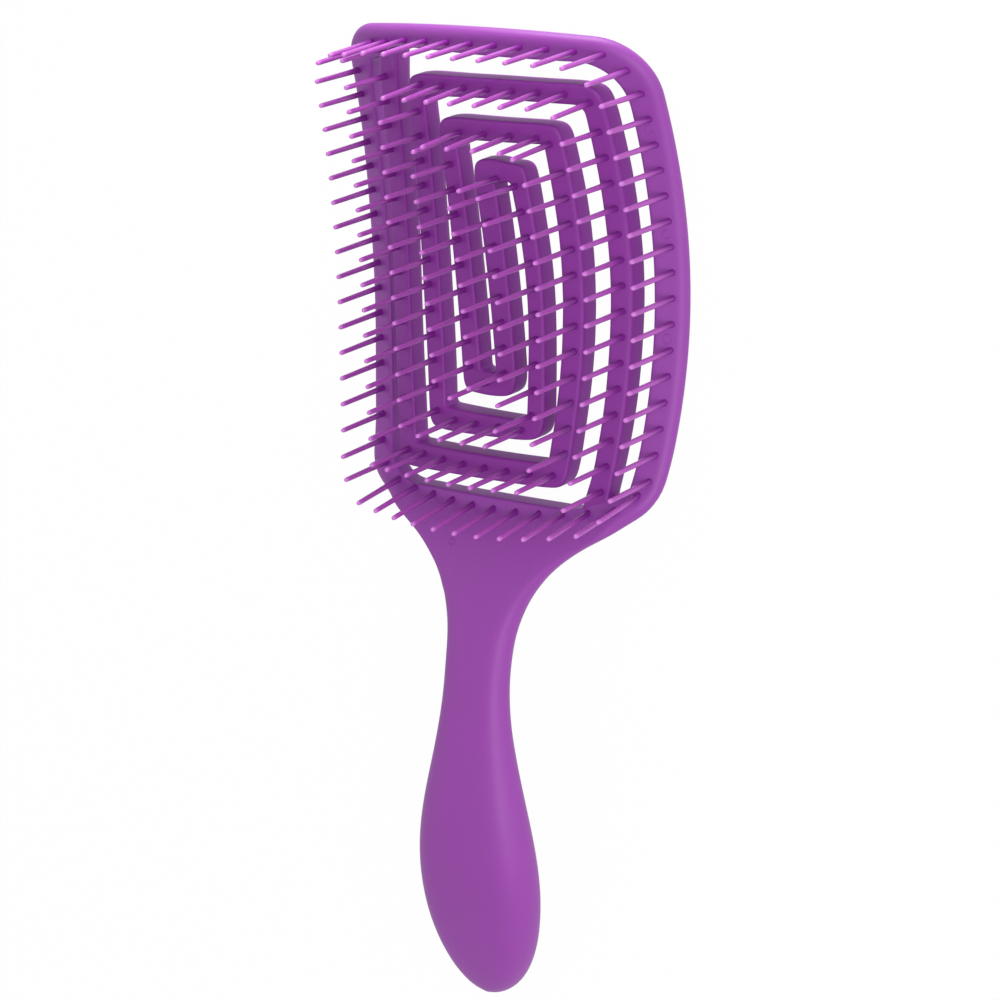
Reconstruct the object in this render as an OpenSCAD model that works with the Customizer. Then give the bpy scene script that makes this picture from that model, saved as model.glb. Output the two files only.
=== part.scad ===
// Detangling brush: an open paddle head with one long flexing strip, moulded pins and a swept handle.
// The brush lies on its back. X runs across the head, Y runs from the handle to the head's top, Z is up.
// Inside the model u runs across the head, v along it from the middle of the strip, and w along the pins.

/* [Head] */
// Width of the head at its widest
head_w = 94; // [80:0.5:105]
// Length of the head from the middle of the strip to its top edge
head_up = 61; // [54:0.5:68]
// Width of the rim at the sides of the head
rim_w = 7.6; // [5.5:0.1:9]
// Depth of the rim, front to back
rim_t = 4.7; // [3.6:0.1:6]
// Radius of the head's upper corners
corner_r = 15.5; // [10:0.5:17]
// Radius of the head's lower corners, beside the neck
low_corner_r = 12; // [9:0.5:14]
// Radius of the crown across the head
crown_r = 105; // [80:1:200]
// Radius of the dish along the head
dish_r = 272; // [220:1:500]

/* [Flexing strip] */
// Width of the strip's bars
bar_w = 6; // [4.5:0.1:6.6]
// Depth of the strip's bars, front to back
bar_t = 5.6; // [4:0.1:6.5]
// How far the strip stands proud of the rim once it has left its roots
strip_lift = 1.3; // [0:0.1:2]
// Radius of the rounded front edges
edge_r = 0.9; // [0.4:0.1:1.4]
// Radius of the strip's centre line in its turns
turn_r = 4.6; // [3.6:0.1:5.4]

/* [Pins] */
// Height of a pin above the face
pin_h = 17; // [12:0.5:20]
// Distance between pins along a bar
pin_pitch = 6.2; // [5.6:0.1:6.4]
// Distance between pins across the head
row_pitch = 6.8; // [6:0.1:7]
// Diameter of a pin at its foot
pin_foot_d = 1.7; // [1.4:0.1:2.2]
// Diameter of a pin's shaft above its foot
pin_d = 1.45; // [1.1:0.05:1.8]
// Diameter of a pin's round tip
pin_tip_d = 1.2; // [0.8:0.05:1.5]
// Lean of the pins along the top rim
rim_lean = 1.5; // [0:0.5:6]
// Lean of the pins on the strip's upper bars
top_lean = 3; // [0:0.5:6]
// Lean of the pins in the row beside the neck
neck_lean = 5; // [0:0.5:8]

/* [Neck and handle] */
// Length from the head's lower edge to the end of the handle
handle_l = 120.5; // [100:0.5:140]
// Width of the neck at its waist
neck_w = 18.4; // [14:0.2:22]
// Depth of the neck at its waist
neck_t = 8.4; // [6:0.1:10]
// Width of the handle at its belly
grip_w = 33.8; // [26:0.2:38]
// Depth of the handle at its belly
grip_t = 15.2; // [12:0.1:18]

/* [Hidden] */

half_w = head_w / 2;
round_r = rim_t / 2;
neck_half = neck_w / 2;
grip_half = grip_w / 2;

// Heights of the front face
// Where the face is lowest along the head
dish_share = 0.156;
dish_v = dish_share * head_up;
// Length that skews the dish, so its top end is flatter than its lower end
dish_skew = 400;
// Length over which the crown fades away from the lowest line
crown_fade = 95;
// Where the crown starts to flatten into the neck, and the length it takes
flat_v_share = -0.705;
flat_l_share = 0.31;
// Where the face starts to climb to the neck, the length of that bend and its radius
climb_v_share = -0.852;
climb_l = 10;
climb_r = 27.8;
// Small step for slopes
slope_step = 0.5;

// Outline of the head, as shares of half the width and of the length to the top
// The side bulges: tilt, bow and skew of its width along the head
side_tilt_share = -0.006;
side_bow_share = 0.097;
side_skew_share = 0.033;
// Fall of the top edge at the corners
top_fall_share = 0.052;
// Radius of the head's upper left corner as a share of the upper right one's
left_corner_share = 0.74;
// Height where the lower corner arcs start
lower_start_share = -0.772;
// Lean of the side where the lower corner starts, and of the flank below it
lower_lean = 6;
flank_lean = 56;
// Lower edge of the frame, where the neck takes over
split_share = -0.984;
split_v = split_share * head_up;

// Opening inside the frame, as shares of half the width and of the length to the top
top_rim_share = 0.104;
opening_corner_share = 0.24;
opening_fall_share = 0.018;
// Lower edge of the opening
opening_low_share = -0.889;
// The closed end of each slot and the sloping land that carries the strip's root
slot_end_share = 0.828;
slot_end_r = 2.3;
land_in_share = [0.46, 0.898];
land_out_share = [0.735, 0.832];

// Points on curves and the longest step between them
corner_steps = 6;
long_steps = 9;
bow_steps = 3;
edge_steps = 3;
round_steps = 6;
side_steps = 18;
across_steps = 14;
step_l = 6;

function unit(a) = a / norm(a);
function mix(a, b, t) = a * (1 - t) + b * t;
function clamp(t) = min(1, max(0, t));
function smooth(t) = t * t * (3 - 2 * t);
function turn(p, a) = [p.x * cos(a) - p.y * sin(a), p.x * sin(a) + p.y * cos(a)];
function flat(list) = [for (part = list) each part];

// Height of the front face over any point of the head
function climb(c) = c < climb_l ? c * c / (2 * climb_r)
    : climb_l * climb_l / (2 * climb_r) + (c - climb_l) * climb_l / climb_r;
function spine(v) = pow(v - dish_v, 2) / (2 * dish_r) + pow(v - dish_v, 3) / pow(dish_skew, 2)
    + climb(max(0, climb_v_share * head_up - v));
function crown(v) = (1 - pow((v - dish_v) / crown_fade, 2))
    * (1 - smooth(clamp((flat_v_share * head_up - v) / (flat_l_share * head_up))));
function face(p) = spine(p.y) - crown(p.y) * p.x * p.x / (2 * crown_r);
function slope(p, n) = (face(p + n * slope_step) - face(p - n * slope_step)) / (2 * slope_step);
function strip_slope(p, n) = (lifted(p + n * slope_step) - lifted(p - n * slope_step)) / (2 * slope_step);

// Half width of the head at a height, without its corners
function side_u(v) = half_w * (1 + side_tilt_share * v / head_up
    - side_bow_share * pow(v / head_up, 2) + side_skew_share * pow(v / head_up, 3));
function top_v(u) = head_up * (1 - top_fall_share * pow(u / half_w, 2));

// Arc of points about a centre, from one angle to another
function arc(c, r, a0, a1, n) = [for (i = [0 : n]) c + r * [cos(mix(a0, a1, i / n)), sin(mix(a0, a1, i / n))]];
function line(a, b, n) = [for (i = [0 : n]) mix(a, b, i / n)];
function mirrored(list) = [for (i = [len(list) - 1 : -1 : 0]) [-list[i].x, list[i].y]];
// The left side reaches a little further out than the right side at the top, and a little less at the bottom
left_out_share = 0.0315;
left_in_share = 0.007;
left_rise_share = 0.7;
function left_out(v) = half_w * (left_out_share * smooth(clamp(0.5 + v / head_up / left_rise_share))
    - left_in_share * smooth(clamp((v - split_v) / low_corner_r)));
function eased(list) = [for (p = list) [p.x - left_out(p.y) * (1 - pow(1 - clamp(-p.x / half_w), 2)), p.y]];
function half_turned(list) = [for (p = list) [-p.x, -p.y]];

// Outer edge of the frame, right half, from the neck corner up to the middle of the top
lower_v = lower_start_share * head_up;
function corner_v(u, r) = top_v(u - r) - r;
function upper_c(r) = let (v = corner_v(side_u(corner_v(half_w, r)), r)) [side_u(v) - r, v];
lower_c = [side_u(lower_v), lower_v] - low_corner_r * [cos(lower_lean), -sin(lower_lean)];
flank_top = lower_c + low_corner_r * [cos(flank_lean), -sin(flank_lean)];
flank_low = flank_top + (flank_top.y - split_v) * [-tan(flank_lean), -1];
wall_end = [flank_low.x - round_r, split_v];
outer_flank = line(flank_low, flank_top, 3);
outer_low = arc(lower_c, low_corner_r, -flank_lean, -lower_lean, corner_steps);
function outer_side(c) = [for (v = [for (p = line([0, lower_v], [0, c.y], side_steps)) p.y]) [side_u(v), v]];
function outer_half(r) = let (c = upper_c(r), side = outer_side(c), high = arc(c, r, 0, 90, long_steps))
    concat(outer_flank, [for (i = [1 : corner_steps]) outer_low[i]],
        [for (i = [1 : side_steps]) side[i]], [for (i = [1 : long_steps]) high[i]]);
outer_right = outer_half(corner_r);
outer_left = outer_half(corner_r * left_corner_share);
top_right_u = outer_right[len(outer_right) - 1].x;
top_left_u = outer_left[len(outer_left) - 1].x;
outer_top = [for (i = [1 : across_steps - 1]) let (u = mix(top_right_u, -top_left_u, i / across_steps)) [u, top_v(u)]];
outer_bottom = line([-wall_end.x, split_v], wall_end, across_steps);
outer_pts = eased(concat(outer_right, outer_top, mirrored(outer_left), outer_bottom));

// Inner edge of the frame, with the same number of points in each stretch
opening_top = head_up * (1 - top_rim_share);
opening_low = opening_low_share * head_up;
opening_r = opening_corner_share * half_w;
function inner_u(v) = side_u(v) - rim_w;
slot_end_v = slot_end_share * head_up;
slot_c_v = slot_end_v - slot_end_r;
land_in = [land_in_share.x * half_w, land_in_share.y * head_up];
land_out = [land_out_share.x * half_w, land_out_share.y * head_up];
high_c = [inner_u(opening_top - opening_r) - opening_r, opening_top - opening_r - opening_fall_share * head_up];
low_c = [-inner_u(opening_low + opening_r) + opening_r, opening_low + opening_r];
land_pts = line([land_in.x, -land_in.y], [land_out.x, -land_out.y], 4);
slot_pts = arc([inner_u(-slot_c_v) - slot_end_r, -slot_c_v], slot_end_r, -70, 0, 4);
inner_land = concat(land_pts, slot_pts);
inner_side = [for (v = [for (p = line([0, -slot_c_v], [0, high_c.y], side_steps)) p.y]) [inner_u(v), v]];
inner_high = arc(high_c, opening_r, 0, 90, long_steps);
inner_top = line(inner_high[long_steps], [-land_in.x, land_in.y], across_steps);
inner_root = half_turned(concat(land_pts, slot_pts));
inner_left = [for (v = [for (p = line([0, slot_c_v], [0, low_c.y], side_steps)) p.y]) [-inner_u(v), v]];
inner_low = arc(low_c, opening_r, 180, 270, long_steps);
inner_bottom = line(inner_low[long_steps], [land_in.x, -land_in.y], across_steps + 2);
inner_pts = eased(concat(
    inner_land, [for (i = [1 : side_steps]) inner_side[i]],
    [for (i = [1 : long_steps]) inner_high[i]], [for (i = [1 : across_steps - 1]) inner_top[i]],
    inner_root, [for (i = [1 : side_steps]) inner_left[i]],
    [for (i = [1 : long_steps]) inner_low[i]], [for (i = [1 : across_steps + 1]) inner_bottom[i]]));

// One section of the frame, from the foot of its inner wall over the face and round the outer edge
count = len(outer_pts);
wall_first = count - across_steps - 1;
function is_wall(i) = i >= wall_first;
function normal(list, i) = let (n = len(list), d = list[(i + 1) % n] - list[(i + n - 1) % n]) unit([d.y, -d.x]);
function outer_n(i) = is_wall(i) ? [0, -1] : i == 0 ? [1, 0] : i == wall_first - 1 ? [-1, 0] : normal(outer_pts, i);
function root_share(i) = i < len(land_pts) || (i >= count - 1)
    || (i >= count_top && i <= count_top + len(land_pts)) ? 0 : 1;
count_top = len(outer_right) + across_steps - 2;
function inner_edge(i) = let (n = -normal(inner_pts, i), r = edge_r * root_share(i), q = inner_pts[i] - n * r)
    [for (k = [0 : edge_steps]) let (a = k / edge_steps * 90)
        let (p = q + n * r * cos(a)) [p.x, p.y, face(q) - edge_r * (1 - sin(a))]];
function outer_edge(i) = let (n = outer_n(i), c = outer_pts[i] - n * round_r, w = face(c) - round_r,
        start = 90 - atan(-slope(c, n)))
    is_wall(i)
    ? [for (k = [0 : round_steps]) [outer_pts[i].x, outer_pts[i].y, face(outer_pts[i]) - rim_t * k / round_steps]]
    : [for (k = [0 : round_steps]) let (a = mix(start, -90, k / round_steps), p = c + n * round_r * cos(a))
        [p.x, p.y, w + round_r * sin(a)]];
function between(a, b, t, drop) = let (p = mix([a.x, a.y], [b.x, b.y], t)) [p.x, p.y, face(p) - drop];
function frame_section(i) = let (inner = inner_edge(i), outer = outer_edge(i), p = inner_pts[i])
    concat([[p.x, p.y, face(p) - rim_t]], inner,
        [for (t = [1 / 3, 2 / 3]) between(inner[edge_steps], outer[0], t, 0)], outer,
        [for (t = [1 / 3, 2 / 3]) between(outer[round_steps], p, t, rim_t)]);

// Solid through a list of sections with equal numbers of points, closed into a ring or capped at its ends
module skin(sections, ring = false) {
    n = len(sections[0]);
    m = len(sections);
    sides = [for (i = [0 : m - (ring ? 1 : 2)], k = [0 : n - 1])
        let (a = i * n + k, b = i * n + (k + 1) % n, c = ((i + 1) % m) * n + k, d = ((i + 1) % m) * n + (k + 1) % n)
        each [[a, c, b], [b, c, d]]];
    caps = ring ? [] : [[for (k = [0 : n - 1]) k], [for (k = [n - 1 : -1 : 0]) (m - 1) * n + k]];
    polyhedron(flat(sections), concat(sides, caps));
}

frame_sections = [for (i = [0 : count - 1]) frame_section(i)];
module outer_frame() { color("mediumorchid") seated() skin(frame_sections, true); }

// Corners of the strip's centre line, as shares of half the width and of the length to the top,
// with the share of the bar's width that each stretch has and of the radius that each turn has
strip_shares = [
    [0.604, -0.858, 0.92, 1], [0.672, -0.500, 0.92, 1], [0.704, 0.000, 0.92, 1], [0.674, 0.400, 0.92, 1],
    [0.630, 0.752, 0.90, 1.2], [0.090, 0.763, 0.88, 1], [-0.438, 0.752, 0.95, 1.2], [-0.468, 0.330, 1.04, 1],
    [-0.461, -0.080, 1.06, 1], [-0.413, -0.606, 1.00, 0.9], [0.229, -0.606, 0.84, 1], [0.234, -0.020, 0.78, 1],
    [0.166, 0.425, 0.84, 0.75], [-0.045, 0.427, 1.04, 0.75], [0.050, -0.437, 1.00, 0.80], [-0.174, -0.435, 1.00, 0.85],
    [-0.229, 0.090, 1.00, 1], [-0.260, 0.588, 0.94, 0.9], [0.388, 0.590, 0.90, 0.9], [0.447, 0.140, 0.95, 1],
    [0.439, -0.330, 0.96, 1], [0.365, -0.774, 1.00, 1], [-0.620, -0.774, 1.02, 0.85], [-0.698, -0.340, 1.06, 1],
    [-0.708, 0.090, 1.08, 1], [-0.672, 0.540, 1.06, 1], [-0.625, 0.856, 1.04, 1]];
strip_corners = [for (s = strip_shares) [s.x * half_w, s.y * head_up, s.z * bar_w / 2, s[3], 0]];
root_a = [strip_corners[0].x, strip_corners[0].y];
root_b = [strip_corners[len(strip_corners) - 1].x, strip_corners[len(strip_corners) - 1].y];
// Length over which the strip climbs from its roots
lift_l = 9;
function lifted(p) = face(p) + strip_lift * smooth(clamp(min(norm(p - root_a), norm(p - root_b)) / lift_l));
// The bars bow gently, and the strip turns sharply from one bar to the next
bow_r = 300;
sharp_turn = 30;
// Least radius of a turn as a share of the strip's half width
inside_share = 1.05;
// How far a turn's outer corner is filled out, as a share of the strip's half width
corner_fill_share = 0.45;

function flat_pt(p) = [p.x, p.y];
function cross_z(a, b) = a.x * b.y - a.y * b.x;
function turned(a, p, b) = let (d1 = unit(flat_pt(a) - flat_pt(p)), d2 = unit(flat_pt(b) - flat_pt(p)),
        open = acos(d1 * d2), sharp = 180 - open > sharp_turn,
        room = 0.48 * min(norm(flat_pt(a) - flat_pt(p)), norm(flat_pt(b) - flat_pt(p))),
        t = min(room, (sharp ? max(turn_r * p[3], p.z * inside_share) : bow_r) / tan(open / 2)), r = t * tan(open / 2),
        c = flat_pt(p) + unit(d1 + d2) * r / sin(open / 2), s = flat_pt(p) + d1 * t - c,
        sweep = (180 - open) * sign(cross_z(d1, d2)) * -1, n = sharp ? corner_steps : bow_steps)
    [for (k = [0 : n]) let (q = c + turn(s, sweep * k / n))
        [q.x, q.y, p.z, p[3], sharp ? sign(sweep) * pow(sin(180 * k / n), 4) : 0]];
function filled(list) = [for (i = [0 : len(list) - 2])
        let (n = max(1, ceil(norm(flat_pt(list[i + 1]) - flat_pt(list[i])) / step_l)))
        for (k = [0 : n - 1]) mix(list[i], list[i + 1], k / n), list[len(list) - 1]];
strip_line = filled(concat([strip_corners[0]],
    [for (i = [1 : len(strip_corners) - 2]) each turned(strip_corners[i - 1], strip_corners[i], strip_corners[i + 1])],
    [strip_corners[len(strip_corners) - 1]]));
last = len(strip_line) - 1;

// One section across the strip, from the foot of its left wall over the rounded face to its right wall
root_dir = unit(land_out - land_in);
root_flare_share = 0.5;
function strip_n(i) = i == 0 || i == last ? [root_dir.x, -root_dir.y]
    : let (d = flat_pt(strip_line[i + 1]) - flat_pt(strip_line[i - 1])) unit([d.y, -d.x]);
function flare(i) = min(i, last - i) == 0 ? root_flare_share : 0;
function fill(i, side) = corner_fill_share * max(0, side * strip_line[i][4]);
function strip_section(i) = let (p = flat_pt(strip_line[i]), n = strip_n(i), h = strip_line[i].z,
        left = -h * (1 + fill(i, -1) + (i < last / 2 ? flare(i) : 0)),
        right = h * (1 + fill(i, 1) + (i > last / 2 ? flare(i) : 0)),
        marks = concat([[left, 0, true]],
            [for (k = [0 : edge_steps]) let (a = 90 * k / edge_steps)
                [left + edge_r * (1 - cos(a)), edge_r * (1 - sin(a)), false]],
            [[mix(left, right, 0.5), 0, false]],
            [for (k = [edge_steps : -1 : 0]) let (a = 90 * k / edge_steps)
                [right - edge_r * (1 - cos(a)), edge_r * (1 - sin(a)), false]],
            [[right, 0, true]]))
    [for (m = marks) let (q = p + n * m.x) [q.x, q.y, lifted(q) - (m.z ? bar_t : m.y)]];
strip_sections = [for (i = [0 : last]) strip_section(i)];

// Where the strip is divided into its arms, as heights on the bars
function nearest(u, v) = let (gaps = [for (p = strip_line) norm(flat_pt(p) - [u * half_w, v * head_up])])
    search(min(gaps), gaps)[0];
cuts = [0, nearest(-0.42, -0.53), nearest(-0.04, 0.30), nearest(0.05, -0.32), nearest(0.40, 0.52), last];
module strip_part(k) { seated() skin([for (i = [cuts[k] : cuts[k + 1]]) strip_sections[i]]); }
module flex_arm_right() { color("mediumorchid") strip_part(0); }
module inner_arm_right() { color("mediumorchid") strip_part(1); }
module centre_bar() { color("mediumorchid") strip_part(2); }
module inner_arm_left() { color("mediumorchid") strip_part(3); }
module flex_arm_left() { color("mediumorchid") strip_part(4); }

// Neck and handle. The first value of each key is a share of the handle's length from the head.
// Half width of the neck as a share of its waist
neck_width_shares = [[0.027, 2.88], [0.051, 2.42], [0.081, 1.96], [0.118, 1.57], [0.156, 1.29],
    [0.203, 1.09], [0.245, 1.02], [0.299, 1.00]];
// Growth of the depth from the rim to the waist
neck_depth_shares = [[0, 0], [0.050, 0.22], [0.104, 0.55], [0.156, 0.80], [0.220, 0.95], [0.299, 1.00]];
// Rise of the centre line above its start
rise_shares = [[0, 0], [0.050, 0.153], [0.104, 0.310], [0.155, 0.432], [0.232, 0.615], [0.312, 0.760],
    [0.436, 0.900], [0.606, 1.000], [0.788, 0.955], [0.978, 0.815], [1, 0.800]];
rise_h = 17.6;
// Where the waist and the belly lie
waist_share = 0.299;
belly_share = 0.730;
// Crown of the front panel and bulge of the back, as shares of the depth
front_crown_share = 0.03;
back_bulge_share = 0.09;
// How bluntly the depth closes at the end, and how far round the end goes
end_blunt_share = 0.6;
end_turn = 88.5;
neck_steps = 14;
grip_steps = 14;
end_steps = 14;
panel_steps = 6;

// Smooth curve through keys, with slopes from their neighbours
function key_slope(keys, i) = let (a = keys[max(0, i - 1)], b = keys[min(len(keys) - 1, i + 1)]) (b[1] - a[1]) / (b[0] - a[0]);
function through(keys, x) = let (last_key = len(keys) - 1,
        i = min(last_key - 1, max(0, len([for (k = keys) if (k[0] <= x) k]) - 1)),
        a = keys[i], b = keys[i + 1], l = b[0] - a[0], t = clamp((x - a[0]) / l))
    a[1] * (1 + 2 * t) * pow(1 - t, 2) + b[1] * t * t * (3 - 2 * t)
    + key_slope(keys, i) * l * t * pow(1 - t, 2) - key_slope(keys, i + 1) * l * t * t * (1 - t);
neck_width_keys = concat([[0, flank_low.x / neck_half]], neck_width_shares);
function handle_half(s) = s <= waist_share ? neck_half * through(neck_width_keys, s)
    : mix(neck_half, grip_half, (1 - cos(180 * clamp((s - waist_share) / (belly_share - waist_share)))) / 2);
function handle_depth(s) = s <= waist_share ? mix(rim_t, neck_t, through(neck_depth_shares, s)) / 2
    : mix(neck_t, grip_t, (1 - cos(180 * clamp((s - waist_share) / (belly_share - waist_share)))) / 2) / 2;
function handle_w(s) = face([0, split_v]) - round_r + rise_h * through(rise_shares, s);

// One section across the handle: round sides, a nearly flat front and a fuller back
function handle_section(s, a, b) = let (c = [a - b, handle_w(s)], v = split_v - s * handle_l, k = smooth(clamp(s / waist_share)),
        front = b * 2 * front_crown_share * k, back = b * 2 * back_bulge_share * k,
        first = s == 0)
    concat(
        [for (i = [0 : round_steps]) let (t = mix(90, -90, i / round_steps), u = c[0] + b * cos(t))
            [u, v, first ? face([c[0], v]) - b + b * sin(t) : c[1] + b * sin(t)]],
        [for (i = [1 : panel_steps - 1]) let (x = mix(1, -1, i / panel_steps), u = c[0] * x)
            [u, v, first ? face([u, v]) - rim_t : c[1] - b - back * (1 - x * x)]],
        [for (i = [0 : round_steps]) let (t = mix(-90, -270, i / round_steps), u = -c[0] + b * cos(t))
            [u, v, first ? face([c[0], v]) - b + b * sin(t) : c[1] + b * sin(t)]],
        [for (i = [1 : panel_steps - 1]) let (x = mix(-1, 1, i / panel_steps), u = c[0] * x)
            [u, v, first ? face([u, v]) : c[1] + b + front * (1 - x * x)]]);
neck_sections = [for (i = [0 : neck_steps]) let (s = waist_share * i / neck_steps)
    handle_section(s, handle_half(s), handle_depth(s))];
grip_sections = concat(
    [for (i = [0 : grip_steps]) let (s = mix(waist_share, belly_share, i / grip_steps))
        handle_section(s, handle_half(s), handle_depth(s))],
    [for (i = [1 : end_steps]) let (t = end_turn * i / end_steps, a = grip_half * cos(t))
        handle_section(mix(belly_share, 1, sin(t)), a, min(0.96 * a, grip_t / 2 * pow(cos(t), end_blunt_share)))]);
module neck() { color("darkorchid") seated() skin(neck_sections); }
module grip() { color("darkorchid") seated() skin(grip_sections); }

// Pins: a flared foot, a shaft that tapers and a round tip
pin_flare_h = 1.3;
pin_root_l = 1.4;
pin_sides = 20;
cut_l = 2 * (pin_foot_d + pin_root_l);
module pin(p, lean, on_strip) {
    dip = on_strip ? [strip_slope(p, [1, 0]), strip_slope(p, [0, 1])] : [slope(p, [1, 0]), slope(p, [0, 1])];
    seat_w = on_strip ? lifted(p) : face(p);
    reach = pin_h - (seat_w - face(p));
    translate([p.x, p.y, seat_w]) difference() {
        rotate([lean, 0, 0]) rotate_extrude($fn = pin_sides) polygon(concat(
            [[0, -pin_root_l], [pin_foot_d / 2, -pin_root_l], [pin_foot_d / 2, 0], [pin_d / 2, pin_flare_h]],
            [for (t = [0, 30, 60]) [pin_tip_d / 2 * cos(t), reach - pin_tip_d / 2 * (1 - sin(t))]], [[0, reach]]));
        rotate([0, atan(norm(dip)), atan2(-dip.y, -dip.x)])
            translate([-cut_l / 2, -cut_l / 2, -cut_l]) cube(cut_l);
    }
}
// Columns of pins along the bars, as many as fit: place at the middle, tilt and bow across, first pin and end along
most_pins = 30;
function column(c) = [for (k = [0 : most_pins]) let (v = c[3] * head_up - k * pin_pitch, y = v / head_up)
    if (y > c[4]) [half_w * (c[0] + c[1] * y + c[2] * y * y), v]];
// Rows of pins across the head, as many as fit: first pin and end across, place along, fall to the sides,
// pitch and its growth from pin to pin as shares of the row pitch
function row(s) = [for (k = [0 : most_pins]) let (x = s[0] * half_w + row_pitch * k * (s[4] + s[5] * k), y = x / half_w)
    if (y < s[1]) [x, head_up * (s[2] + s[3] * y * y)]];
left_rim_shares = [-0.932, -0.045, 0.111, 0.769, -0.80];
right_rim_shares = [0.932, 0.001, -0.111, 0.757, -0.80];
outer_right_shares = [0.704, -0.012, -0.135, 0.607, -0.85];
outer_left_shares = [-0.709, -0.032, 0.135, 0.766, -0.80];
middle_right_shares = [0.454, -0.015, -0.111, 0.4395, -0.72];
middle_left_shares = [-0.461, -0.029, 0.111, 0.6415, -0.62];
inner_left_shares = [-0.221, -0.093, 0.072, 0.439, -0.41];
inner_right_shares = [0.227, -0.103, -0.246, 0.375, -0.58];
centre_shares = [0.013, -0.104, -0.040, 0.327, -0.42];
top_row_shares = [-0.466, 0.75, 0.938, -0.048, 1.02, 0];
low_row_shares = [-0.667, 0.74, -0.940, 0.115, 0.834, 0.012];
corner_pin_shares = [[0.820, 0.849], [-0.848, 0.859], [-0.637, 0.885], [-0.725, 0.901], [-0.612, 0.912]];
low_corner_pin_shares = [[0.821, -0.824]];
low_left_pin_shares = [[-0.774, -0.834]];
upper_row_shares = [-0.382, 0.55, 0.760, -0.020, 1.01, 0];
upper_corner_pin_shares = [[0.622, 0.723]];
upper_inner_row_shares = [-0.158, 0.38, 0.577, -0.040, 1.07, 0];
upper_inner_corner_pin_shares = [[0.376, 0.552], [-0.224, 0.552]];
peak_pin_shares = [[0.042, 0.400]];
foot_pin_shares = [[-0.070, -0.432]];
lower_inner_row_shares = [-0.281, 0.20, -0.604, 0, 1, 0];
lower_row_shares = [-0.493, 0.40, -0.775, 0.050, 0.97, 0];
function places(list) = [for (s = list) [s.x * half_w, s.y * head_up]];
module pins(list, lean = 0, on_strip = true) { color("orchid") seated() for (p = list) pin(p, lean, on_strip); }
module pins_left_rim() { pins(concat(column(left_rim_shares), places(low_left_pin_shares)), 0, false); }
module pins_right_rim() { pins(column(right_rim_shares), 0, false); }
module pins_top_rim() { pins(concat(row(top_row_shares), places(corner_pin_shares)), rim_lean, false); }
module pins_bottom_rim() { pins(concat(row(low_row_shares), places(low_corner_pin_shares)), neck_lean, false); }
module pins_flex_arm_right() {
    pins(concat(column(outer_right_shares), column(middle_left_shares)));
    pins(concat(row(upper_row_shares), places(upper_corner_pin_shares)), top_lean);
}
module pins_inner_arm_right() { pins(concat(column(inner_right_shares), row(lower_inner_row_shares), places(peak_pin_shares))); }
module pins_centre_bar() { pins(column(centre_shares)); }
module pins_inner_arm_left() {
    pins(concat(column(inner_left_shares), places(foot_pin_shares)));
    pins(concat(row(upper_inner_row_shares), places(upper_inner_corner_pin_shares)), top_lean);
}
module pins_flex_arm_left() { pins(concat(column(outer_left_shares), column(middle_right_shares), row(lower_row_shares))); }

// Resting pose: the brush lies on the low edges of its rims and on the back of its handle
function lowest(section) = section[search(min([for (p = section) p.z]), [for (p = section) p.z])[0]];
head_low = [for (s = frame_sections) lowest(s)];
grip_low = [for (s = grip_sections) lowest(s)];
rest_slope = max([for (g = grip_low) min([for (h = head_low) (h.z - g.z) / (h.y - g.y)])]);
rest_tilt = -atan(rest_slope);
function rested_y(p) = p.y * cos(rest_tilt) - p.z * sin(rest_tilt);
function rested_z(p) = p.y * sin(rest_tilt) + p.z * cos(rest_tilt);
low_z = min([for (s = concat(frame_sections, grip_sections), p = s) rested_z(p)]);
mid_y = (max([for (s = frame_sections, p = s) rested_y(p)]) + min([for (s = grip_sections, p = s) rested_y(p)])) / 2;
module seated() { translate([0, -mid_y, -low_z]) rotate([rest_tilt, 0, 0]) children(); }

outer_frame();
neck();
grip();
flex_arm_right();
inner_arm_right();
centre_bar();
inner_arm_left();
flex_arm_left();
pins_left_rim();
pins_right_rim();
pins_top_rim();
pins_bottom_rim();
pins_flex_arm_right();
pins_inner_arm_right();
pins_centre_bar();
pins_inner_arm_left();
pins_flex_arm_left();
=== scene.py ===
"""Detangling brush: its soft-touch frame and handle, folded strip and round-tipped pins."""

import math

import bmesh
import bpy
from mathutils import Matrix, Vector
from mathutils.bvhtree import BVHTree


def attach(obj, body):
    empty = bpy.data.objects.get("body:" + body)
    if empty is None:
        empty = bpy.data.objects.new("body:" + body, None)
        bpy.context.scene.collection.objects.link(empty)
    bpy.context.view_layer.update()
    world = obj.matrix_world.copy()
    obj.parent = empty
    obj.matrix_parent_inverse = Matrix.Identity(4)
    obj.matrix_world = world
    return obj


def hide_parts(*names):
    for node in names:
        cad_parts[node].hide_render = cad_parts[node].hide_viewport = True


bl_info = {
    "name": "Detangling brush",
    "version": (1, 0, 0),
    "blender": (4, 5, 0),
    "location": "3D View > Sidebar > Brush",
    "description": "Models the skin, strip, pins and stage of a vented paddle brush",
    "category": "Object",
}

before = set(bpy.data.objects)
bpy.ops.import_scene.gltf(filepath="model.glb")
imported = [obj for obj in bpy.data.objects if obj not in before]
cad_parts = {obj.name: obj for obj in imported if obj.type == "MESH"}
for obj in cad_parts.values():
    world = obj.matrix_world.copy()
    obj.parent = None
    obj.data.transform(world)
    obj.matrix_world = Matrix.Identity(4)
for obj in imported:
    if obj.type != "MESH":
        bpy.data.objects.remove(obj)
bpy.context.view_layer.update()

MM = 0.001
ROOT = "root"
BODY_NODES = ("outer_frame", "neck", "grip")
STRIP_NODES = ("flex_arm_right", "inner_arm_right", "centre_bar", "inner_arm_left", "flex_arm_left")
PIN_NODES = tuple(sorted(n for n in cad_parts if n.startswith("pins_")))

# Points of the solids that lie nearer than this are one point
SAME_POINT = 0.002 * MM
# A point or face that stands nearer than this to a surface lies on it
TOUCHING = 0.05 * MM
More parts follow.
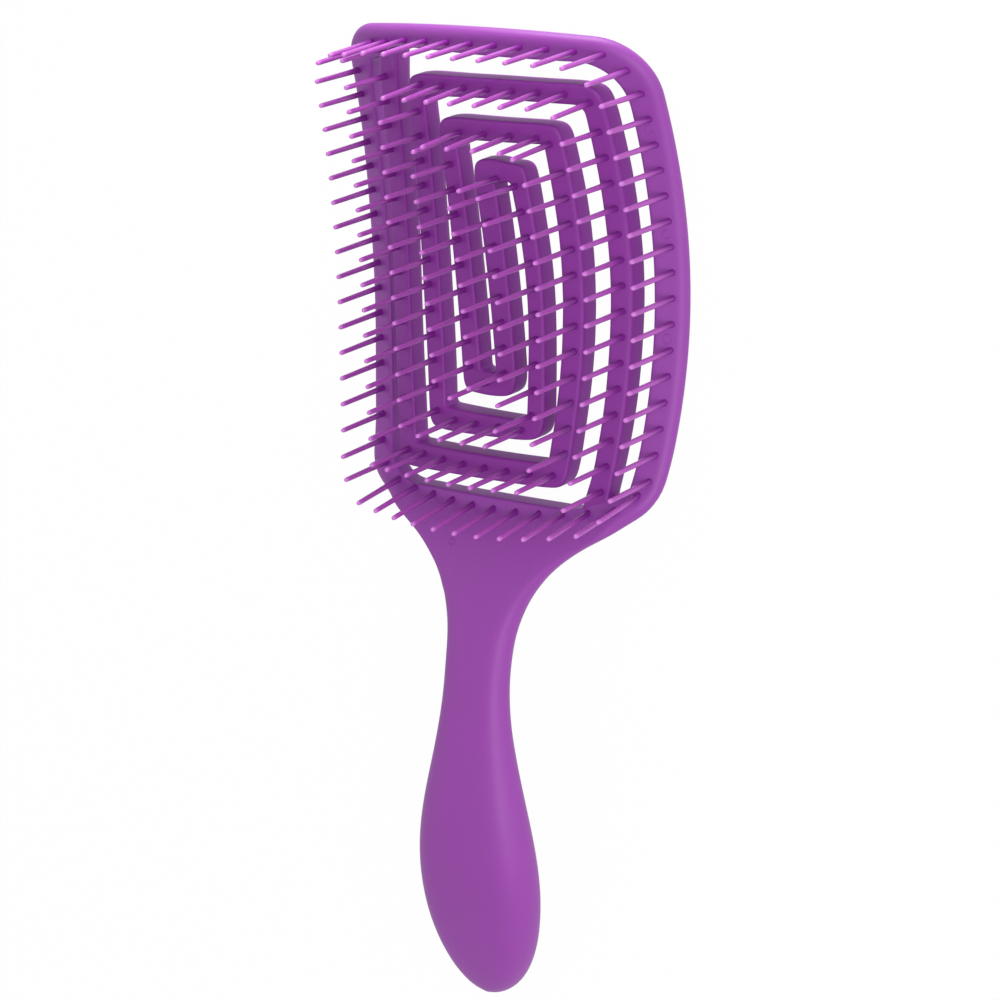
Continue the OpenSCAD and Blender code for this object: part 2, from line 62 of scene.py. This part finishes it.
# Two normals point the same way, or at each other, where the size of their product is over this
SAME_WAY = 0.98
# How near the frame the strip's end faces stand, how flat they are, and how far they reach from their middle
END_REACH = 0.6 * MM
END_FLAT = 0.1 * MM
END_SPAN = 10 * MM
# Corners of two open edges are one where they are nearer than this, and on an edge where nearer than the next
SEAM_GAP = 0.02 * MM
SEAM_BOW = 0.1 * MM
# Most that two triangles may bend and skew to be joined into a four-sided face
QUAD_BEND = math.radians(75)
QUAD_SKEW = math.radians(120)
# Edges that bend by more than this are held against smoothing, and by more than the next are shaded as edges
HELD_BEND = math.radians(50)
SHADED_BEND = math.radians(40)
# Width of the clouds in the plastics, and how much rougher or smoother they make the surface
CLOUD_WIDTH = 22 * MM
ROUGH_SPREAD = 0.05


def linear(colour):
    """An sRGB colour, 0 to 255, as the linear one that a shader takes."""
    shares = [c / 255 for c in colour]
    return tuple(s / 12.92 if s <= 0.04045 else ((s + 0.055) / 1.055) ** 2.4 for s in shares) + (1.0,)


class BrushFinish(bpy.types.PropertyGroup):
    """Colours and surface of the plastics."""

    skin_colour: bpy.props.FloatVectorProperty(
        name="Skin", description="Colour of the soft-touch frame and handle",
        subtype="COLOR", size=4, default=linear((144, 59, 160)))
    # Partly painted shade: the strip's purple is set deeper than the skin's to stand in for the shade among
    # its pins
    strip_colour_and_shade: bpy.props.FloatVectorProperty(
        name="Strip", description="Colour of the folded strip",
        subtype="COLOR", size=4, default=linear((132, 38, 147)))
    pin_colour: bpy.props.FloatVectorProperty(
        name="Pins", description="Colour of the pins towards their tips",
        subtype="COLOR", size=4, default=linear((169, 76, 176)))
    # Painted shade: the pins' roots are coloured deeper to stand in for the shade where they leave the
    # moulding
    painted_root_shade: bpy.props.FloatVectorProperty(
        name="Pin roots", description="Deeper colour of the pins where they leave the moulding",
        subtype="COLOR", size=4, default=linear((124, 36, 138)))
    # Painted highlight: the pins' round tips are coloured paler to stand in for the gloss that catches them
    painted_tip_highlight: bpy.props.FloatVectorProperty(
        name="Pin tips", description="Paler colour of the pins' round tips",
        subtype="COLOR", size=4, default=linear((206, 118, 212)))
    skin_roughness: bpy.props.FloatProperty(
        name="Skin roughness", description="How matt the soft-touch surface is",
        subtype="FACTOR", default=0.52, min=0.2, max=1.0)
    strip_roughness: bpy.props.FloatProperty(
        name="Strip roughness", description="How matt the strip is",
        subtype="FACTOR", default=0.54, min=0.2, max=1.0)
    pin_roughness: bpy.props.FloatProperty(
        name="Pin roughness", description="How matt the pins are",
        subtype="FACTOR", default=0.24, min=0.1, max=1.0)
    grain: bpy.props.FloatProperty(
        name="Grain size", description="Width of the fine moulded grain",
        subtype="DISTANCE", unit="LENGTH", default=0.5 * MM, min=0.1 * MM, max=2 * MM)


class BrushShape(bpy.types.PropertyGroup):
    """Sizes of what is modelled over the solids."""

    smooth_levels: bpy.props.IntProperty(
        name="Smoothing", description="Subdivision levels of the moulded skin", default=2, min=1, max=3)
    edge_hold: bpy.props.FloatProperty(
        name="Back edge", description="How firmly the back edges hold against smoothing",
        subtype="FACTOR", default=0.72, min=0.0, max=1.0)
    root_depth: bpy.props.FloatProperty(
        name="Root depth", description="How far the strip's ends run into the frame",
        subtype="DISTANCE", unit="LENGTH", default=1.2 * MM, min=0.2 * MM, max=3 * MM)
    pin_sides: bpy.props.IntProperty(
        name="Pin sides", description="Sides of a pin", default=14, min=8, max=24)


def finish_of(context):
    """The colours and surfaces that the user has set."""
    return context.scene.brush_finish


def shape_of(context):
    """The sizes that the user has set."""
    return context.scene.brush_shape


def only(obj):
    """Selects one object alone and makes it active."""
    bpy.ops.object.select_all(action="DESELECT")
    obj.select_set(True)
    bpy.context.view_layer.objects.active = obj


def copy_of(nodes, name):
    """One new object from the solids of some nodes, still in loose triangles."""
    bpy.ops.object.select_all(action="DESELECT")
    copies = []
    for node in nodes:
        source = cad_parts[node]
        piece = bpy.data.objects.new(name, source.data.copy())
        bpy.context.scene.collection.objects.link(piece)
        piece.select_set(True)
        copies.append(piece)
    bpy.context.view_layer.objects.active = copies[0]
    if len(copies) > 1:
        bpy.ops.object.join()
    piece = bpy.context.view_layer.objects.active
    piece.name = name
    piece.data.name = name
    piece.data.materials.clear()
    return piece


def weld(piece):
    """Merges the loose triangles of a copied solid and joins them into four-sided faces."""
    only(piece)
    bpy.ops.object.mode_set(mode="EDIT")
    bpy.ops.mesh.select_all(action="SELECT")
    bpy.ops.mesh.remove_doubles(threshold=SAME_POINT)
    bpy.ops.object.mode_set(mode="OBJECT")
    drop_inner_walls(piece)
    bpy.ops.object.mode_set(mode="EDIT")
    bpy.ops.mesh.select_all(action="SELECT")
    bpy.ops.mesh.tris_convert_to_quads(face_threshold=QUAD_BEND, shape_threshold=QUAD_SKEW)
    bpy.ops.object.mode_set(mode="OBJECT")


def drop_inner_walls(piece):
    """Takes out the walls left inside where two solids of one moulding met face to face."""
    mesh = bmesh.new()
    mesh.from_mesh(piece.data)
    seams = {e for e in mesh.edges if len(e.link_faces) > 2}
    loops = {v for e in seams for v in e.verts}
    walls = [f for f in mesh.faces if all(v in loops for v in f.verts) and faces_across(f, seams)]
    bmesh.ops.delete(mesh, geom=walls, context="FACES")
    mesh.to_mesh(piece.data)
    mesh.free()


def faces_across(face, seams):
    """True for a face with an edge on a seam, or whose every corner joins more than four faces."""
    return any(e in seams for e in face.edges) or all(len(v.link_faces) > 4 for v in face.verts)


def surface_of(nodes):
    """The surface of some nodes, for finding what lies on it."""
    mesh = bmesh.new()
    for node in nodes:
        mesh.from_mesh(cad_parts[node].data)
    tree = BVHTree.FromBMesh(mesh)
    mesh.free()
    return tree


def lies_on(tree, verts):
    """True for points that all lie on a surface."""
    return all(tree.find_nearest(v.co, TOUCHING)[0] is not None for v in verts)


def faces_onto(tree, face, reach=TOUCHING):
    """True for a face that stands close against a surface and looks at it."""
    place, normal = tree.find_nearest(face.calc_center_median(), reach)[:2]
    return place is not None and normal.dot(face.normal) < -SAME_WAY


def hold_edges(piece, hold, neighbours):
    """Creases the edges that bend sharply, and fully those where the moulding runs on."""
    seam = surface_of(neighbours)
    mesh = bmesh.new()
    mesh.from_mesh(piece.data)
    layer = mesh.edges.layers.float.get("crease_edge") or mesh.edges.layers.float.new("crease_edge")
    for edge in mesh.edges:
        if len(edge.link_faces) == 2 and edge.calc_face_angle(0) > HELD_BEND:
            edge[layer] = 1.0 if lies_on(seam, edge.verts) else hold
    mesh.to_mesh(piece.data)
    mesh.free()


def sink_ends(piece, depth, neighbours):
    """Lengthens a moulding's two ends into the moulding they meet, so no seam opens there."""
    seam = surface_of(neighbours)
    mesh = bmesh.new()
    mesh.from_mesh(piece.data)
    for side in (-1, 1):
        caps = [f for f in mesh.faces if f.calc_center_median().x * side > 0
                and faces_onto(seam, f, END_REACH)]
        cap = max(caps, key=lambda f: f.calc_area())
        way, foot = cap.normal.copy(), cap.calc_center_median()
        region = [f for f in mesh.faces if f.normal.dot(way) > SAME_WAY
                  and abs((f.calc_center_median() - foot).dot(way)) < END_FLAT
                  and (f.calc_center_median() - foot).length < END_SPAN]
        fresh = bmesh.ops.extrude_face_region(mesh, geom=region)["geom"]
        moved = [v for v in fresh if isinstance(v, bmesh.types.BMVert)]
        bmesh.ops.translate(mesh, verts=moved, vec=way * depth)
        bmesh.ops.delete(mesh, geom=[f for f in region if f.is_valid], context="FACES")
    mesh.to_mesh(piece.data)
    mesh.free()


def open_wall(piece, neighbours):
    """Takes out the end wall with which a solid stands against its neighbours."""
    seam = surface_of(neighbours)
    mesh = bmesh.new()
    mesh.from_mesh(piece.data)
    walls = [f for f in mesh.faces if lies_on(seam, f.verts) and faces_onto(seam, f)]
    bmesh.ops.delete(mesh, geom=walls, context="FACES")
    mesh.to_mesh(piece.data)
    mesh.free()


def run_together(pieces, name):
    """Joins pieces along their open edges, each edge getting the corners of the other."""
    bpy.ops.object.select_all(action="DESELECT")
    for piece in pieces:
        piece.select_set(True)
    bpy.context.view_layer.objects.active = pieces[0]
    bpy.ops.object.join()
    body = bpy.context.view_layer.objects.active
    body.name = name
    mesh = bmesh.new()
    mesh.from_mesh(body.data)
    corners = [v for v in mesh.verts if v.is_boundary]
    for corner in corners:
        if any(other is not corner and (other.co - corner.co).length < SEAM_GAP for other in corners):
            continue
        for edge in [e for e in mesh.edges if e.is_boundary and corner not in e.verts]:
            start, end = edge.verts
            along = end.co - start.co
            share = (corner.co - start.co).dot(along) / along.length_squared
            if 0 < share < 1 and (start.co + along * share - corner.co).length < SEAM_BOW:
                fresh = bmesh.utils.edge_split(edge, start, share)[1]
                fresh.co = corner.co
                break
    bmesh.ops.remove_doubles(mesh, verts=[v for v in mesh.verts if v.is_boundary], dist=SEAM_GAP)
    mesh.to_mesh(body.data)
    mesh.free()
    return body


def smooth(piece, levels):
    """Applies a subdivision surface and shades the piece smooth."""
    only(piece)
    modifier = piece.modifiers.new("Smooth", "SUBSURF")
    modifier.levels = levels
    modifier.render_levels = levels
    bpy.ops.object.modifier_apply(modifier=modifier.name)
    bpy.ops.object.shade_smooth_by_angle(angle=SHADED_BEND)


def plastic(name, colour, roughness, grain, grain_depth, sheen=0.0, mottle=0.06):
    """Moulded plastic: faint mottling of colour and roughness over a fine grain."""
    material = bpy.data.materials.new(name)
    material.use_nodes = True
    nodes, links = material.node_tree.nodes, material.node_tree.links
    shader = nodes["Principled BSDF"]
    place = nodes.new("ShaderNodeTexCoord")
    cloud = nodes.new("ShaderNodeTexNoise")
    cloud.inputs["Scale"].default_value = 1 / CLOUD_WIDTH
    cloud.inputs["Detail"].default_value = 3.0
    tint = nodes.new("ShaderNodeMixRGB")
    tint.inputs["Color1"].default_value = [c * (1 - mottle) for c in colour[:3]] + [1]
    tint.inputs["Color2"].default_value = [min(1, c * (1 + mottle)) for c in colour[:3]] + [1]
    fine = nodes.new("ShaderNodeTexNoise")
    fine.inputs["Scale"].default_value = 1 / grain
    fine.inputs["Detail"].default_value = 2.0
    rough = nodes.new("ShaderNodeMapRange")
    rough.inputs["To Min"].default_value = roughness - ROUGH_SPREAD
    rough.inputs["To Max"].default_value = roughness + ROUGH_SPREAD
    bump = nodes.new("ShaderNodeBump")
    bump.inputs["Strength"].default_value = 0.35
    bump.inputs["Distance"].default_value = grain_depth
    links.new(place.outputs["Object"], cloud.inputs["Vector"])
    links.new(place.outputs["Object"], fine.inputs["Vector"])
    links.new(cloud.outputs["Fac"], tint.inputs["Fac"])
    links.new(tint.outputs["Color"], shader.inputs["Base Color"])
    links.new(cloud.outputs["Fac"], rough.inputs["Value"])
    links.new(rough.outputs["Result"], shader.inputs["Roughness"])
    links.new(fine.outputs["Fac"], bump.inputs["Height"])
    links.new(bump.outputs["Normal"], shader.inputs["Normal"])
    shader.inputs["IOR"].default_value = 1.47
    shader.inputs["Sheen Weight"].default_value = sheen
    shader.inputs["Sheen Roughness"].default_value = 0.4
    return material


def dress(piece, material, slot, *nodes):
    """Gives a piece its plastic and its body, and hides the nodes that it stands for, if any. Its slot is not
    used.
    """
    piece.data.materials.clear()
    piece.data.materials.append(material)
    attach(piece, ROOT)
    if nodes:
        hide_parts(*nodes)


class BRUSH_OT_skin(bpy.types.Operator):
    """Model the soft-touch frame, neck and handle"""

    bl_idname = "brush.skin"
    bl_label = "Frame and handle"

    # Depth of the grain, and the faint velvet look of a soft-touch surface
    grain_depth = 0.03 * MM
    velvet = 0.02

    def execute(self, context):
        finish, shape = finish_of(context), shape_of(context)
        skin = plastic("soft_touch_purple", finish.skin_colour, finish.skin_roughness,
                       finish.grain, self.grain_depth, sheen=self.velvet)
        head = copy_of(["outer_frame"], "head")
        weld(head)
        open_wall(head, ("neck",))
        handle = copy_of(["neck", "grip"], "handle")
        weld(handle)
        open_wall(handle, ("outer_frame",))
        body = run_together([head, handle], "body_moulding")
        hold_edges(body, shape.edge_hold, STRIP_NODES)
        smooth(body, shape.smooth_levels)
        dress(body, skin, "soft_touch_body", *BODY_NODES)
        return {"FINISHED"}


class BRUSH_OT_strip(bpy.types.Operator):
    """Model the one strip that folds in to the centre bar and out again"""

    bl_idname = "brush.strip"
    bl_label = "Folded strip"

    # Depth of the grain
    grain_depth = 0.02 * MM

    def execute(self, context):
        finish, shape = finish_of(context), shape_of(context)
        material = plastic("strip_purple", finish.strip_colour_and_shade, finish.strip_roughness,
                           finish.grain, self.grain_depth)
        strip = copy_of(STRIP_NODES, "strip_moulding")
        weld(strip)
        sink_ends(strip, shape.root_depth, ("outer_frame",))
        hold_edges(strip, shape.edge_hold, ("outer_frame",))
        smooth(strip, shape.smooth_levels)
        dress(strip, material, "strip", *STRIP_NODES)
        return {"FINISHED"}


def islands(mesh):
    """The separate solids of a mesh, each as a list of its points."""
    left = set(mesh.verts)
    for first in mesh.verts:
        if first not in left:
            continue
        left.remove(first)
        island = [first]
        for corner in island:
            for link in corner.link_edges:
                other = link.other_vert(corner)
                if other in left:
                    left.remove(other)
                    island.append(other)
        yield [v.co.copy() for v in island]


def middle(points):
    """The mean of some points."""
    return sum(points, Vector()) / len(points)


class BRUSH_OT_pins(bpy.types.Operator):
    """Model one round-tipped pin and stand a copy on every foot"""

    bl_idname = "brush.pins"
    bl_label = "Pins"

    # Height of the tallest pins, and of the part at their foot that moves up where a pin is shorter
    height = 17.0 * MM
    foot_part = 2.6 * MM
    # How much nearer to the tip than the furthest point a solid's other foot points may lie
    foot_band = 1.0 * MM
    # Shares of the height between which the roots' painted shade fades out, and the tips' painted highlight
    # fades in
    root_shade_fade = (0.02, 0.45)
    tip_highlight_fade = (0.90, 1.0)
    # Depth of the grain, and how much the plastic's colour varies
    grain_depth = 0.008 * MM
    mottle = 0.04
    # Heights above the foot, and half widths there, going up a pin, in millimetres
    profile = ((-0.9, 0.83), (0.0, 0.83), (0.6, 0.775), (1.3, 0.735), (2.2, 0.715), (8.0, 0.665),
               (16.2, 0.60), (16.65, 0.52), (16.90, 0.34), (16.99, 0.14))

    def execute(self, context):
        finish, shape = finish_of(context), shape_of(context)
        material = self.plastic(finish)
        pattern = self.one_pin(shape.pin_sides)
        for node in PIN_NODES:
            bpy.ops.object.select_all(action="DESELECT")
            for tip, axis, height in self.places(node):
                pin = bpy.data.objects.new(node + "_pin", pattern.data.copy())
                context.scene.collection.objects.link(pin)
                self.shorten(pin.data, self.height - height)
                turn = Vector((0, 0, 1)).rotation_difference(axis).to_matrix().to_4x4()
                pin.data.transform(Matrix.Translation(tip - axis * self.height) @ turn)
                pin.select_set(True)
                context.view_layer.objects.active = pin
            bpy.ops.object.join()
            group = context.view_layer.objects.active
            group.name = node + "_moulded"
            bpy.ops.object.shade_smooth()
            dress(group, material, "pins", node)
        bpy.data.objects.remove(pattern)
        return {"FINISHED"}

    def plastic(self, finish):
        """The pins' plastic, with painted shade deepening the roots and a painted highlight paling the tips.
        """
        material = plastic("pin_magenta", finish.pin_colour, finish.pin_roughness,
                           finish.grain, self.grain_depth, mottle=self.mottle)
        nodes, links = material.node_tree.nodes, material.node_tree.links
        shader = nodes["Principled BSDF"]
        plain = shader.inputs["Base Color"].links[0].from_socket
        rise = nodes.new("ShaderNodeAttribute")
        rise.attribute_name = "rise"
        # Painted shade deepens the roots, fading out up each pin's height
        root = self.fade(nodes, links, rise, self.root_shade_fade)
        # Painted highlight pales the tips, fading in near each pin's end
        tip = self.fade(nodes, links, rise, self.tip_highlight_fade)
        root_shade_mix = nodes.new("ShaderNodeMixRGB")
        root_shade_mix.inputs["Color1"].default_value = finish.painted_root_shade
        tip_highlight_mix = nodes.new("ShaderNodeMixRGB")
        tip_highlight_mix.inputs["Color2"].default_value = finish.painted_tip_highlight
        links.new(root, root_shade_mix.inputs["Fac"])
        links.new(plain, root_shade_mix.inputs["Color2"])
        links.new(tip, tip_highlight_mix.inputs["Fac"])
        links.new(root_shade_mix.outputs["Color"], tip_highlight_mix.inputs["Color1"])
        links.new(tip_highlight_mix.outputs["Color"], shader.inputs["Base Color"])
        return material

    def fade(self, nodes, links, rise, span):
        """Runs smoothly from 0 to 1 between two shares of a pin's height."""
        fade = nodes.new("ShaderNodeMapRange")
        fade.interpolation_type = "SMOOTHSTEP"
        fade.inputs["From Min"].default_value = span[0]
        fade.inputs["From Max"].default_value = span[1]
        links.new(rise.outputs["Fac"], fade.inputs["Value"])
        return fade.outputs["Result"]

    def places(self, node):
        """Tip, direction and height of each pin in a node, read from the rings of its solid."""
        mesh = bmesh.new()
        mesh.from_mesh(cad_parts[node].data)
        bmesh.ops.remove_doubles(mesh, verts=mesh.verts, dist=SAME_POINT)
        found = []
        for points in islands(mesh):
            tip = max(points, key=lambda p: p.z)
            reach = max((p - tip).length for p in points)
            foot = middle([p for p in points if (p - tip).length > reach - self.foot_band])
            found.append((tip, (tip - foot).normalized(), (tip - foot).length))
        mesh.free()
        return found

    def shorten(self, mesh, length):
        """Lifts the foot of a pin whose tip stays where it is."""
        for vert in mesh.vertices:
            if vert.co.z < self.foot_part:
                vert.co.z += length

    def one_pin(self, sides):
        """A disc extruded up the profile, ring by ring, and closed at the tip."""
        low, half = self.profile[0]
        bpy.ops.mesh.primitive_circle_add(
            vertices=sides, radius=half * MM, fill_type="NGON", location=(0, 0, low * MM))
        pin = bpy.context.view_layer.objects.active
        bpy.ops.object.transform_apply(location=True)
        bpy.ops.object.mode_set(mode="EDIT")
        bpy.ops.mesh.select_all(action="SELECT")
        for (z0, r0), (z1, r1) in zip(self.profile, self.profile[1:]):
            bpy.ops.mesh.extrude_region_move(TRANSFORM_OT_translate={"value": (0, 0, (z1 - z0) * MM)})
            bpy.ops.transform.resize(value=(r1 / r0, r1 / r0, 1))
        bpy.ops.mesh.select_all(action="SELECT")
        bpy.ops.mesh.normals_make_consistent(inside=False)
        bpy.ops.object.mode_set(mode="OBJECT")
        rise = pin.data.attributes.new("rise", "FLOAT", "POINT")
        for vert in pin.data.vertices:
            rise.data[vert.index].value = max(0, vert.co.z / self.height)
        return pin


class BRUSH_OT_marks(bpy.types.Operator):
    """Model the small round marks that the mould's ejector pins left on the front"""

    bl_idname = "brush.marks"
    bl_label = "Ejector marks"

    # Each mark's place across and along the brush, and its radius, in millimetres
    marks = ((41.6, 98.9, 1.0), (43.1, 74.2, 1.0), (42.9, 49.2, 1.1), (-11.2, -6.0, 0.8))
    # Half the thickness of a mark's ring, and its sides round the mark and round itself
    ring_half = 0.2 * MM
    ring_sides = (32, 8)
    # Height above the whole brush, from where a mark is let down onto its surface
    above = 100 * MM

    def execute(self, context):
        front = surface_of(BODY_NODES)
        bpy.ops.object.select_all(action="DESELECT")
        rings = []
        for across, along, radius in self.marks:
            start = Vector((across * MM, along * MM, self.above))
            place, normal = front.ray_cast(start, Vector((0, 0, -1)))[:2]
            bpy.ops.mesh.primitive_torus_add(
                major_segments=self.ring_sides[0], minor_segments=self.ring_sides[1],
                major_radius=radius * MM, minor_radius=self.ring_half,
                location=place, rotation=normal.to_track_quat("Z", "Y").to_euler())
            rings.append(context.view_layer.objects.active)
        for ring in rings:
            ring.select_set(True)
        bpy.ops.object.join()
        bpy.ops.object.transform_apply(location=True, rotation=True, scale=True)
        bpy.ops.object.shade_smooth()
        piece = context.view_layer.objects.active
        piece.name = "ejector_marks"
        dress(piece, bpy.data.materials["soft_touch_purple"], "soft_touch_body")
        return {"FINISHED"}


class BRUSH_OT_stage(bpy.types.Operator):
    """Add the floor, the soft studio lamps and the camera"""

    bl_idname = "brush.stage"
    bl_label = "Floor, lamps and camera"

    # Where the photograph was taken from, the way the camera looks in degrees, its lens and its frame's width
    camera_place = (484.97 * MM, 145.97 * MM, 688.57 * MM)
    camera_turn = (-7.9624, 35.9316, 2.7428)
    camera_lens = 124.373
    camera_frame = 36.0
    camera_reach = 20.0
    # Strength of the light from all round
    sky_level = 0.48
    # Width, grey and roughness of the floor
    floor_width = 12.0
    floor_grey = 0.86
    floor_roughness = 0.9
    # Share of plain white in the floor as the camera sees it, and as it lights the brush
    floor_white = 0.98
    floor_glow = 0.4
    # Each lamp's name, place, width and power
    lamps = (
        ("key", (0.85, 0.0, 1.05), 0.9, 9.0),
        ("fill", (1.3, 0.2, 0.35), 1.2, 3.4),
        ("side", (-0.9, 0.1, 0.8), 0.9, 1.0),
        ("top", (0.0, 0.25, 0.03), 0.10, 0.30),
    )

    def execute(self, context):
        scene = context.scene
        self.floor()
        for name, place, size, power in self.lamps:
            self.lamp(name, place, size, power)
        self.world(scene)
        camera = bpy.data.cameras.new("camera")
        camera.lens = self.camera_lens
        camera.sensor_width = self.camera_frame
        camera.clip_end = self.camera_reach
        eye = bpy.data.objects.new("camera", camera)
        scene.collection.objects.link(eye)
        eye.location = self.camera_place
        eye.rotation_euler = [math.radians(a) for a in self.camera_turn]
        scene.camera = eye
        scene.view_settings.view_transform = "Standard"
        return {"FINISHED"}

    def floor(self):
        """A pale floor that is near white to the camera and still takes a faint shadow."""
        bpy.ops.mesh.primitive_plane_add(size=self.floor_width, location=(0, 0, 0))
        floor = bpy.context.view_layer.objects.active
        floor.name = "floor"
        material = bpy.data.materials.new("floor_white")
        material.use_nodes = True
        nodes, links = material.node_tree.nodes, material.node_tree.links
        shader = nodes["Principled BSDF"]
        shader.inputs["Base Color"].default_value = (self.floor_grey, self.floor_grey, self.floor_grey, 1)
        shader.inputs["Roughness"].default_value = self.floor_roughness
        glow = nodes.new("ShaderNodeEmission")
        glow.inputs["Strength"].default_value = 1.0
        share = nodes.new("ShaderNodeMapRange")
        share.inputs["To Min"].default_value = self.floor_glow
        share.inputs["To Max"].default_value = self.floor_white
        blend = nodes.new("ShaderNodeMixShader")
        links.new(self.rays_that_see(nodes, links), share.inputs["Value"])
        links.new(share.outputs["Result"], blend.inputs["Fac"])
        links.new(shader.outputs["BSDF"], blend.inputs[1])
        links.new(glow.outputs["Emission"], blend.inputs[2])
        links.new(blend.outputs["Shader"], nodes["Material Output"].inputs["Surface"])
        floor.data.materials.append(material)

    def lamp(self, name, place, size, power):
        """A round soft lamp that looks at the middle of the brush."""
        light = bpy.data.lights.new(name, "AREA")
        light.shape = "DISK"
        light.size = size
        light.energy = power
        lamp = bpy.data.objects.new(name, light)
        bpy.context.scene.collection.objects.link(lamp)
        lamp.location = place
        lamp.rotation_euler = (-Vector(place)).to_track_quat("-Z", "Y").to_euler()

    def rays_that_see(self, nodes, links):
        """1 for rays of the camera and of reflections, and 0 for those that carry light."""
        path = nodes.new("ShaderNodeLightPath")
        total = path.outputs["Is Camera Ray"]
        for kind in ("Is Glossy Ray", "Is Transmission Ray"):
            either = nodes.new("ShaderNodeMath")
            either.operation = "MAXIMUM"
            links.new(total, either.inputs[0])
            links.new(path.outputs[kind], either.inputs[1])
            total = either.outputs[0]
        return total

    def world(self, scene):
        """Soft grey light all round, which the camera and reflections see as white."""
        world = bpy.data.worlds.new("studio")
        scene.world = world
        world.use_nodes = True
        nodes, links = world.node_tree.nodes, world.node_tree.links
        sky = nodes["Background"]
        sky.inputs["Color"].default_value = (1.0, 1.0, 1.0, 1)
        level = nodes.new("ShaderNodeMapRange")
        level.inputs["To Min"].default_value = self.sky_level
        level.inputs["To Max"].default_value = 1.0
        links.new(self.rays_that_see(nodes, links), level.inputs["Value"])
        links.new(level.outputs["Result"], sky.inputs["Strength"])


class BRUSH_PT_panel(bpy.types.Panel):
    """Buttons and finishes of the brush"""

    bl_label = "Detangling brush"
    bl_space_type = "VIEW_3D"
    bl_region_type = "UI"
    bl_category = "Brush"

    def draw(self, context):
        layout = self.layout
        for operator in OPERATORS:
            layout.operator(operator.bl_idname)
        for group in (finish_of(context), shape_of(context)):
            for name in group.bl_rna.properties.keys():
                if name not in ("rna_type", "name"):
                    layout.prop(group, name)


OPERATORS = (BRUSH_OT_skin, BRUSH_OT_strip, BRUSH_OT_pins, BRUSH_OT_marks, BRUSH_OT_stage)
CLASSES = (BrushFinish, BrushShape) + OPERATORS + (BRUSH_PT_panel,)


def register():
    for item in CLASSES:
        bpy.utils.register_class(item)
    bpy.types.Scene.brush_finish = bpy.props.PointerProperty(type=BrushFinish)
    bpy.types.Scene.brush_shape = bpy.props.PointerProperty(type=BrushShape)


def unregister():
    del bpy.types.Scene.brush_finish
    del bpy.types.Scene.brush_shape
    for item in reversed(CLASSES):
        bpy.utils.unregister_class(item)


def main():
    register()
    bpy.ops.brush.skin()
    bpy.ops.brush.strip()
    bpy.ops.brush.pins()
    bpy.ops.brush.marks()
    bpy.ops.brush.stage()


if __name__ == "__main__":
    main()
